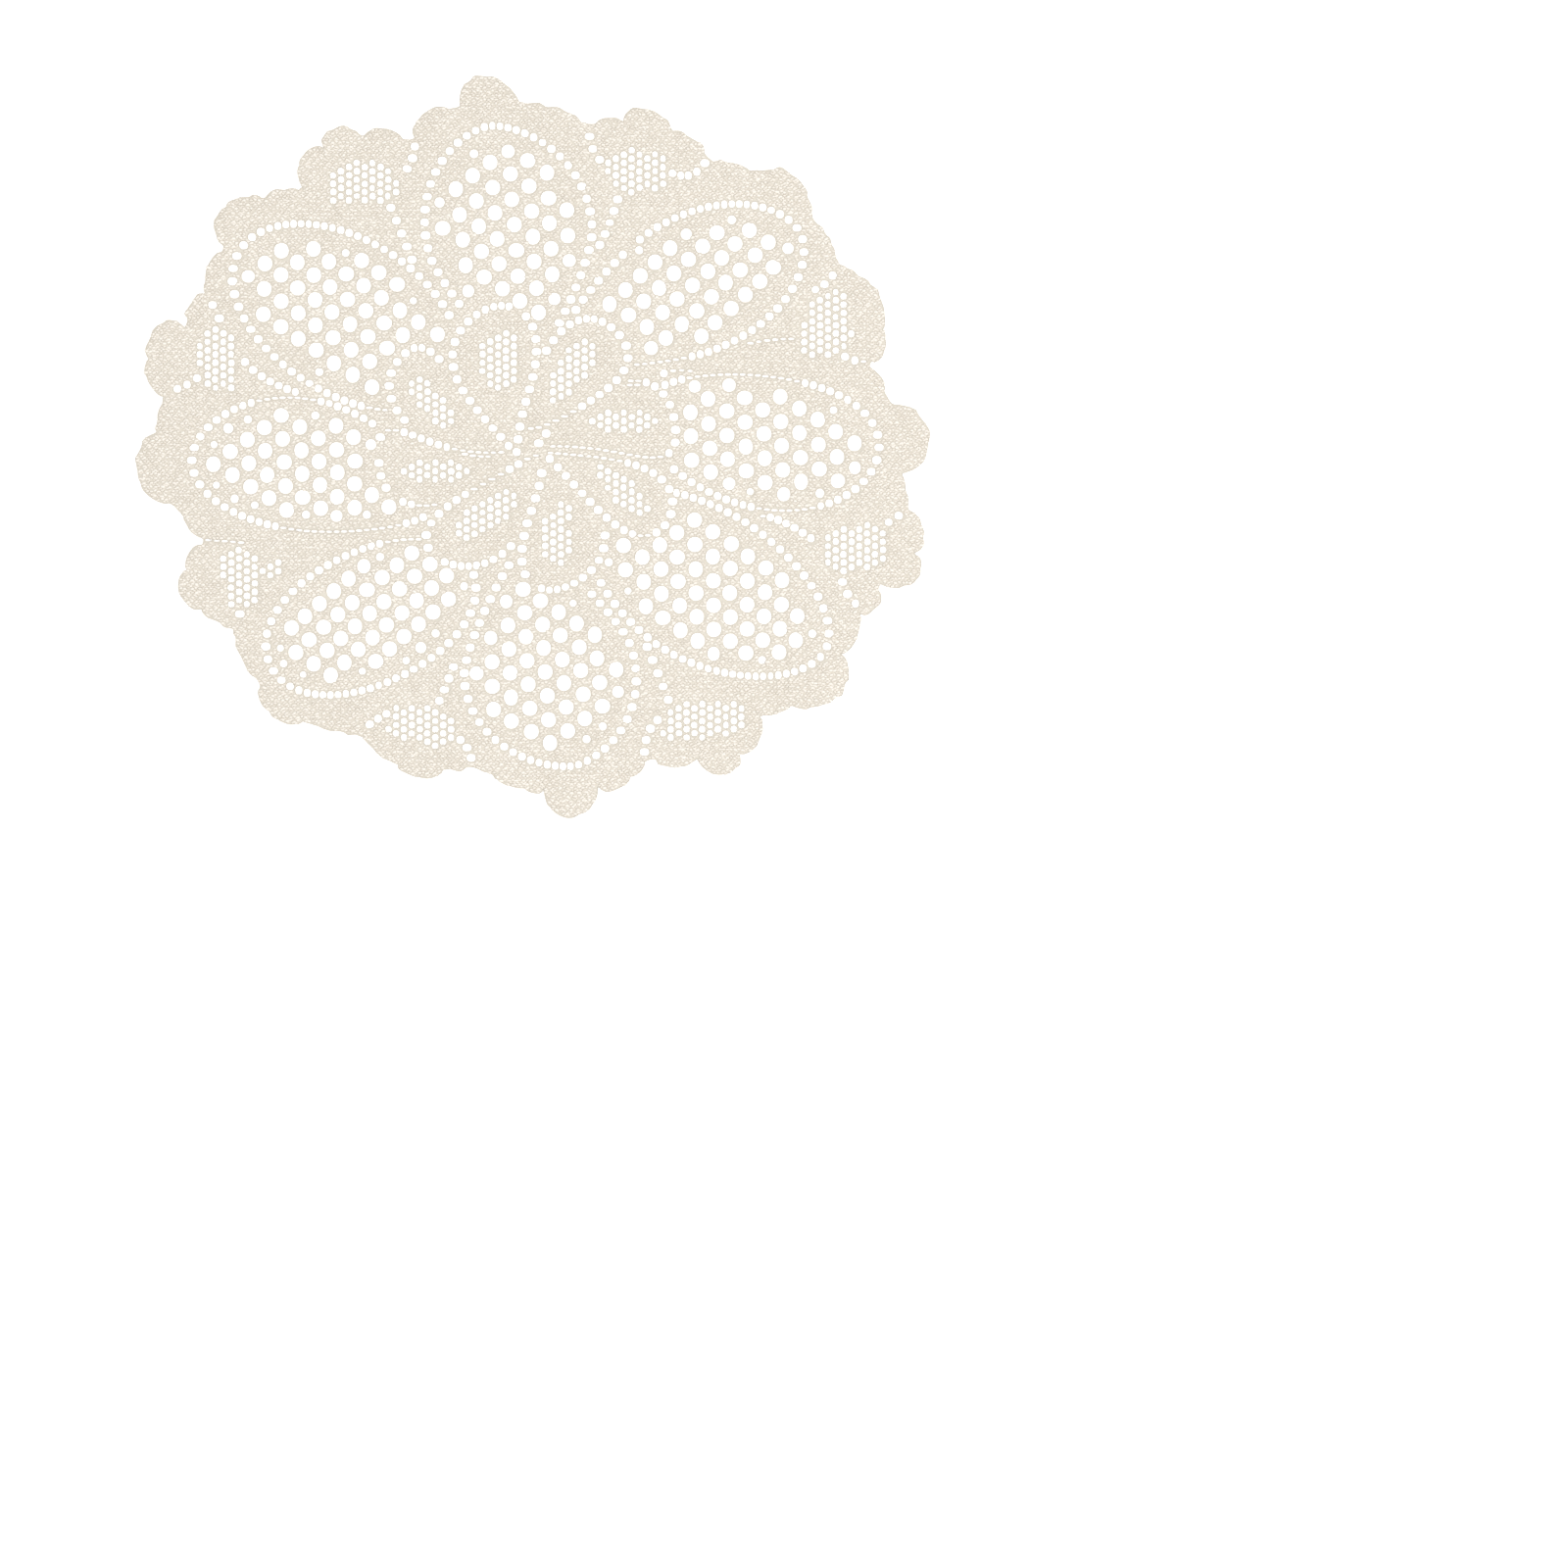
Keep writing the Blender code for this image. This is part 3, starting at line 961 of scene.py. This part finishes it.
# Half sizes of a grain, how far it is turned, where it sits in its stitch, which
# stitches have it (0 and 1 are every second one, in a brick pattern), and how pale
# it is from 0 to 1, which is painted light and shade: high bumps paler, the sunk
# loop darker
Grain = namedtuple("Grain", "long wide high turn column row brick tint")
GRAINS = {
    "long bump": Grain(1, 0.84, 0.8, 7, 0, 0, (0,), 0.65),
    "short bump": Grain(0.84, 0.82, 0.74, -14, 0, 0.22, (1,), 0.5),
    "sunk loop": Grain(0.78, 0.72, 0.62, 18, 0.5, 0.6, (0, 1), 0.3),
}
# How far rows and columns wander, and how slowly
WANDER = 0.5
WANDER_ROWS = 31
WANDER_COLUMNS = 23
# How much grains differ in place, turn in degrees, size and tint
PLACE_SLACK = 0.11
TURN_SLACK = 14
SIZE_SLACK = 0.12
TINT_SLACK = 0.3
HIGHEST_GRAIN = 0.86
# How far a grain's middle stays from the openings and from the edge
OPENING_GAP = 0.6
EDGE_GAP = 0.5


def stitch_grid():
    """Columns and rows of all stitches that might lie on the cloth."""
    low, high = edge.min(axis=0), edge.max(axis=0)
    columns = np.arange(math.floor(low[0] / STITCH_WIDE), math.ceil(high[0] / STITCH_WIDE))
    rows = np.arange(math.floor(low[1] / STITCH_TALL), math.ceil(high[1] / STITCH_TALL))
    column, row = (grid.ravel() for grid in np.meshgrid(columns, rows))
    return column, row


def on_cloth(places):
    """Which places lie on the cloth, clear of its openings and its edge."""
    x, y, wide, tall = np.array([opening[:4] for opening in openings]).T
    kept = []
    for first in range(0, len(places), POINTS_AT_ONCE):
        some = places[first : first + POINTS_AT_ONCE, None, :]
        across = (some[..., 0] - x) / (wide + OPENING_GAP)
        upward = (some[..., 1] - y) / (tall + OPENING_GAP)
        kept.append((across**2 + upward**2 > 1).all(axis=1))
    return np.concatenate(kept) & (depths_inside(edge, places) > EDGE_GAP)


def lay_grains(kind):
    """Places, turns, half sizes and tints of all grains of one kind."""
    grain = GRAINS[kind]
    column, row = stitch_grid()
    in_brick = np.isin((column + row) % 2, grain.brick)
    column, row = column[in_brick], row[in_brick]
    x = (column + grain.column) * STITCH_WIDE + WANDER * np.sin(row * STITCH_TALL / WANDER_COLUMNS)
    y = (row + grain.row) * STITCH_TALL + WANDER * np.sin(column * STITCH_WIDE / WANDER_ROWS)
    places = np.column_stack([x, y]) + chance.normal(0, PLACE_SLACK, (len(x), 2))
    turns = grain.turn * (1 - 2 * (column % 2)) + chance.normal(0, TURN_SLACK, len(x))
    sizes = 1 + chance.normal(0, SIZE_SLACK, (len(x), 3))
    sizes *= [grain.long, grain.wide, grain.high]
    sizes[:, 2] = np.minimum(sizes[:, 2], HIGHEST_GRAIN)
    tints = grain.tint + chance.normal(0, TINT_SLACK, len(x))
    kept = on_cloth(places)
    return places[kept], np.radians(turns[kept]), sizes[kept], tints[kept]


laid = [lay_grains(kind) for kind in GRAINS]
places, turns, sizes, tints = (np.concatenate(column) for column in zip(*laid))
print("grains of yarn:", len(places))

# %% [markdown]
# The stitches as meshes
#
# All grains of one quarter of the cloth are joined into one mesh, so there are
# four pieces in place of thirty thousand. Each grain reaches through the ground, so
# that both faces of the cloth show their bumps, as on the real one. Every point
# remembers the tint of its grain, for the material.

# %% Join the grains, a quarter of the cloth at a time
def set_tints(piece, tints):
    """Gives each point of a piece its tint."""
    attribute = piece.data.attributes.new("yarn_tint", "FLOAT", "POINT")
    attribute.data.foreach_set("value", tints)


def grain_mesh(name, chosen):
    """One mesh of the chosen grains."""
    count, corners = chosen.sum(), len(grain_points)
    shaped = grain_points[None] * sizes[chosen][:, None]
    cosine, sine = np.cos(turns[chosen])[:, None], np.sin(turns[chosen])[:, None]
    middle = (places[chosen] - cloth_middle)[:, None]
    points = np.empty((count, corners, 3))
    points[..., 0] = middle[..., 0] + shaped[..., 0] * cosine - shaped[..., 1] * sine
    points[..., 1] = middle[..., 1] + shaped[..., 0] * sine + shaped[..., 1] * cosine
    points[..., 2] = GROUND_MIDDLE + shaped[..., 2]
    faces = grain_faces[None] + np.arange(count)[:, None, None] * corners
    piece = smooth_mesh(name, points.reshape(-1, 3), faces.reshape(-1, 3).tolist())
    set_tints(piece, np.repeat(tints[chosen], corners))
    return piece


right, upper = places[:, 0] > cloth_middle[0], places[:, 1] > cloth_middle[1]
stitches = [
    grain_mesh("stitches_upper_right", right & upper),
    grain_mesh("stitches_upper_left", ~right & upper),
    grain_mesh("stitches_lower_left", ~right & ~upper),
    grain_mesh("stitches_lower_right", right & ~upper),
]
print("pieces of stitches:", len(stitches))

# %% [markdown]
# Cotton
#
# Unbleached cotton is a warm, pale cream, and no two lengths of yarn are quite
# alike. Where yarns cross and light has to find its way in, they lie in shade, and
# that shade is painted into the colour as tan. A node group makes that colour from
# the height in the cloth, so that all materials share it: deep places get the
# painted shade, raised ones the pale cream as it looks lit, and two noises add soft
# clouds and the fuzz of fibres. The group also puts out the fibres' height for a bump.

# %% Helpers that build nodes
def node(tree, kind, **settings):
    """A new node in a tree, with these properties set."""
    made = tree.nodes.new(kind)
    for name, value in settings.items():
        setattr(made, name, value)
    return made


def noise(tree, vector, scale, detail):
    """A noise texture's plain value over some coordinates."""
    made = node(tree, "ShaderNodeTexNoise")
    made.inputs["Scale"].default_value = scale
    made.inputs["Detail"].default_value = detail
    tree.links.new(vector, made.inputs["Vector"])
    return made.outputs["Fac"]


def between(tree, value, low, high, to_low=0.0, to_high=1.0):
    """A value stretched from one range to another, and kept inside it."""
    made = node(tree, "ShaderNodeMapRange")
    for socket, number in zip(made.inputs[1:5], (low, high, to_low, to_high)):
        socket.default_value = number
    tree.links.new(value, made.inputs[0])
    return made.outputs[0]


def mix(tree, share, first, second):
    """A mix of two colours."""
    made = node(tree, "ShaderNodeMix", data_type="RGBA")
    tree.links.new(share, made.inputs["Factor"])
    for side, colour in (("A", first), ("B", second)):
        socket = next(x for x in made.inputs if x.name == side and x.type == "RGBA")
        if isinstance(colour, tuple):
            socket.default_value = (*colour, 1)
        else:
            tree.links.new(colour, socket)
    return next(x for x in made.outputs if x.type == "RGBA")


def maths(tree, operation, first, second):
    """Arithmetic on a socket and a socket or number."""
    made = node(tree, "ShaderNodeMath", operation=operation)
    tree.links.new(first, made.inputs[0])
    if isinstance(second, (int, float)):
        made.inputs[1].default_value = second
    else:
        tree.links.new(second, made.inputs[1])
    return made.outputs[0]


print("node helpers:", [helper.__name__ for helper in (node, noise, between, mix, maths)])

# %% The shared cotton colour
# A noise's scale and detail, the range of it that is used, and how far it moves
# the colour from tan to pale
Noise = namedtuple("Noise", "scale detail low high share")
CLOUDS = Noise(45, 3, 0.35, 0.65, 0.04)
FIBRES = Noise(2600, 2, 0.3, 0.7, 0.14)
# How far a tint moves the colour: on grains it is partly their own random tone
# and partly painted shade, and on the strands painted shade
TINT_SHARE = 0.38

cotton = bpy.data.node_groups.new("cotton_yarn", "ShaderNodeTree")
for name, kind in (
    ("Pale", "NodeSocketColor"),
    ("Tan", "NodeSocketColor"),
    ("Deep", "NodeSocketFloat"),
    ("Raised", "NodeSocketFloat"),
    ("Tint", "NodeSocketFloat"),
):
    cotton.interface.new_socket(name, in_out="INPUT", socket_type=kind)
for name, kind in (("Colour", "NodeSocketColor"), ("Fibre", "NodeSocketFloat")):
    cotton.interface.new_socket(name, in_out="OUTPUT", socket_type=kind)
given = node(cotton, "NodeGroupInput")
result = node(cotton, "NodeGroupOutput")
where = node(cotton, "ShaderNodeTexCoord").outputs["Object"]
split = node(cotton, "ShaderNodeSeparateXYZ")
cotton.links.new(where, split.inputs[0])
# Painted shade: the nearer a place lies to the cloth's middle height, the more tan it gets, and
# raised places get the pale cream as lit
lift = maths(cotton, "SUBTRACT", split.outputs["Z"], GROUND_MIDDLE * MM)
lift = maths(cotton, "ABSOLUTE", lift, 0)
raised = node(cotton, "ShaderNodeMapRange")
cotton.links.new(lift, raised.inputs["Value"])
cotton.links.new(given.outputs["Deep"], raised.inputs["From Min"])
cotton.links.new(given.outputs["Raised"], raised.inputs["From Max"])
fibre = noise(cotton, where, FIBRES.scale, FIBRES.detail)
clouds = noise(cotton, where, CLOUDS.scale, CLOUDS.detail)
clouds = between(cotton, clouds, CLOUDS.low, CLOUDS.high, -CLOUDS.share, CLOUDS.share)
tint = between(cotton, given.outputs["Tint"], 0, 1, -TINT_SHARE, TINT_SHARE)
fuzz = between(cotton, fibre, FIBRES.low, FIBRES.high, -FIBRES.share, FIBRES.share)
share = maths(cotton, "ADD", raised.outputs[0], clouds)
share = maths(cotton, "ADD", share, tint)
share = maths(cotton, "ADD", share, fuzz)
share = between(cotton, share, 0, 1)
colour = mix(cotton, share, given.outputs["Tan"], given.outputs["Pale"])
cotton.links.new(colour, result.inputs["Colour"])
cotton.links.new(fibre, result.inputs["Fibre"])
print("cotton group:", len(cotton.nodes), "nodes")

# %% [markdown]
# Three materials of one yarn
#
# The whole cloth is the same yarn. The stitches and the strands round holes and
# eyelets are the palest. The ground lies deeper and is seen only in the gaps, so its
# colours are darker with painted shade, and the net's thin threads, lit from fewer
# sides, get painted shade between the two. Cotton hardly shines: the surface is
# rough, with a little sheen from its fuzz, and a fine bump of fibres.

# %% The materials
# Colours are linear, and each yarn's painted shade is the tan of its deep places.
# Deep and raised are heights from the cloth's middle.
Yarn = namedtuple("Yarn", "pale tan deep raised roughness sheen")
YARNS = {
    "stitch_cotton": Yarn((0.715, 0.68, 0.623), (0.57, 0.524, 0.456), 0.2, 0.62, 0.88, 0.12),
    # The net's and the ground's colours are darker as painted shade: thin threads lit from fewer
    # sides, and cloth lying deeper
    "net_cotton": Yarn((0.63, 0.59, 0.52), (0.53, 0.485, 0.42), 0.1, 0.45, 0.9, 0.1),
    "ground_cotton": Yarn((0.55, 0.515, 0.45), (0.38, 0.35, 0.29), 0.04, 0.16, 0.92, 0.1),
}
FIBRE_BUMP = 0.25
FIBRE_DEPTH = 0.05
# How much smoother the lowest fibres are than the highest
ROUGHNESS_SPREAD = 0.06
# Tints of the ground and the net, and of the strands round holes and eyelets,
# whose lower tint is painted shade along the rims of the openings
GROUND_TINT = 0.5
STRAND_SHADE_TINT = 0.35


def cotton_material(name):
    """A cotton of this name from the table of yarns."""
    yarn = YARNS[name]
    material = bpy.data.materials.new(name)
    material.use_nodes = True
    tree = material.node_tree
    shader = tree.nodes["Principled BSDF"]
    shader.inputs["Sheen Weight"].default_value = yarn.sheen
    group = node(tree, "ShaderNodeGroup", node_tree=cotton)
    group.inputs["Pale"].default_value = (*yarn.pale, 1)
    group.inputs["Tan"].default_value = (*yarn.tan, 1)
    group.inputs["Deep"].default_value = yarn.deep * MM
    group.inputs["Raised"].default_value = yarn.raised * MM
    tint = node(tree, "ShaderNodeAttribute", attribute_name="yarn_tint")
    tree.links.new(tint.outputs["Fac"], group.inputs["Tint"])
    tree.links.new(group.outputs["Colour"], shader.inputs["Base Color"])
    smoothest = yarn.roughness - ROUGHNESS_SPREAD
    rough = between(tree, group.outputs["Fibre"], FIBRES.low, FIBRES.high, smoothest, yarn.roughness)
    tree.links.new(rough, shader.inputs["Roughness"])
    bump = node(tree, "ShaderNodeBump")
    bump.inputs["Strength"].default_value = FIBRE_BUMP
    bump.inputs["Distance"].default_value = FIBRE_DEPTH * MM
    tree.links.new(group.outputs["Fibre"], bump.inputs["Height"])
    tree.links.new(bump.outputs["Normal"], shader.inputs["Normal"])
    return material


def tint_evenly(piece, tint):
    """Gives every point of a piece the same tint."""
    set_tints(piece, np.full(len(piece.data.vertices), tint))


for piece in (ground, net_strands, net_curls):
    tint_evenly(piece, GROUND_TINT)
# The strands round openings get a lower tint: painted shade at the rims
tint_evenly(rim_strands, STRAND_SHADE_TINT)
ground.data.materials.append(cotton_material("ground_cotton"))
net_cotton = cotton_material("net_cotton")
for piece in (net_strands, net_curls):
    piece.data.materials.append(net_cotton)
stitch_cotton = cotton_material("stitch_cotton")
for piece in [rim_strands, *stitches]:
    piece.data.materials.append(stitch_cotton)
print("materials:", [material.name for material in bpy.data.materials])

# %% [markdown]
# What each piece stands for
#
# The ground is the sheet of cloth: it lies flat and takes the imported solid's
# place. The strands, the curls and the stitches belong to it.

# %% Join the pieces to the part
pieces = [ground, rim_strands, net_strands, net_curls, *stitches]
for piece in pieces:
    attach(piece, "root")
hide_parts("lace_cloth")

# %% [markdown]
# The table, the light and the camera
#
# The doily lies on a plain white table under a wide, soft light, and is seen from
# straight above. It fills the upper left of the picture, so the camera hangs over a
# point to its lower right: no lens shift is needed. A long lens keeps the flat
# cloth free of perspective.

# %% The table
WHITE = (1, 1, 1, 1)
FLOOR_SIZE = 6
TABLE_COLOUR = (0.92, 0.92, 0.92, 1)
TABLE_ROUGHNESS = 0.95
TABLE_SHINE = 0.1
TABLE_GLOW = 0.4
bpy.ops.object.select_all(action="DESELECT")
bpy.ops.mesh.primitive_plane_add(size=FLOOR_SIZE, location=(0, 0, 0))
floor = bpy.context.object
floor.name = "table_top"
white = bpy.data.materials.new("white_table")
white.use_nodes = True
surface = white.node_tree.nodes["Principled BSDF"]
surface.inputs["Base Color"].default_value = TABLE_COLOUR
surface.inputs["Roughness"].default_value = TABLE_ROUGHNESS
surface.inputs["Specular IOR Level"].default_value = TABLE_SHINE
surface.inputs["Emission Color"].default_value = WHITE
surface.inputs["Emission Strength"].default_value = TABLE_GLOW
floor.data.materials.append(white)
print("table:", floor.name)

# %% The light
SKY = 1.0
world = bpy.data.worlds.new("soft_room")
world.use_nodes = True
background = world.node_tree.nodes["Background"]
background.inputs["Color"].default_value = WHITE
background.inputs["Strength"].default_value = SKY
bpy.context.scene.world = world

# Places and sizes of the lamps in metres
Lamp = namedtuple("Lamp", "x y z size watts")
LAMPS = {
    "softbox_left": Lamp(-1.1, 0.9, 1.6, 1.2, 9),
    "softbox_right": Lamp(1.2, -0.7, 1.9, 1.6, 33),
}
for name, lamp in LAMPS.items():
    light = bpy.data.lights.new(name, "AREA")
    light.size = lamp.size
    light.energy = lamp.watts
    holder = bpy.data.objects.new(name, light)
    holder.location = (lamp.x, lamp.y, lamp.z)
    holder.rotation_euler = (-holder.location).to_track_quat("-Z", "Y").to_euler()
    bpy.context.scene.collection.objects.link(holder)
print("lamps:", list(LAMPS))

# %% The camera
# Width and middle of what the camera sees, in metres, and its lens in millimetres
PICTURE_WIDTH = 0.5933
PICTURE_MIDDLE = (0.0951, -0.1276)
LENS = 100
SENSOR = 36
view = bpy.data.cameras.new("overhead")
view.lens = LENS
view.sensor_width = SENSOR
camera = bpy.data.objects.new("overhead", view)
camera.location = (*PICTURE_MIDDLE, PICTURE_WIDTH * LENS / SENSOR)
bpy.context.scene.collection.objects.link(camera)
bpy.context.scene.camera = camera
bpy.context.scene.view_settings.view_transform = "Standard"
print("camera height in metres:", round(camera.location.z, 3))
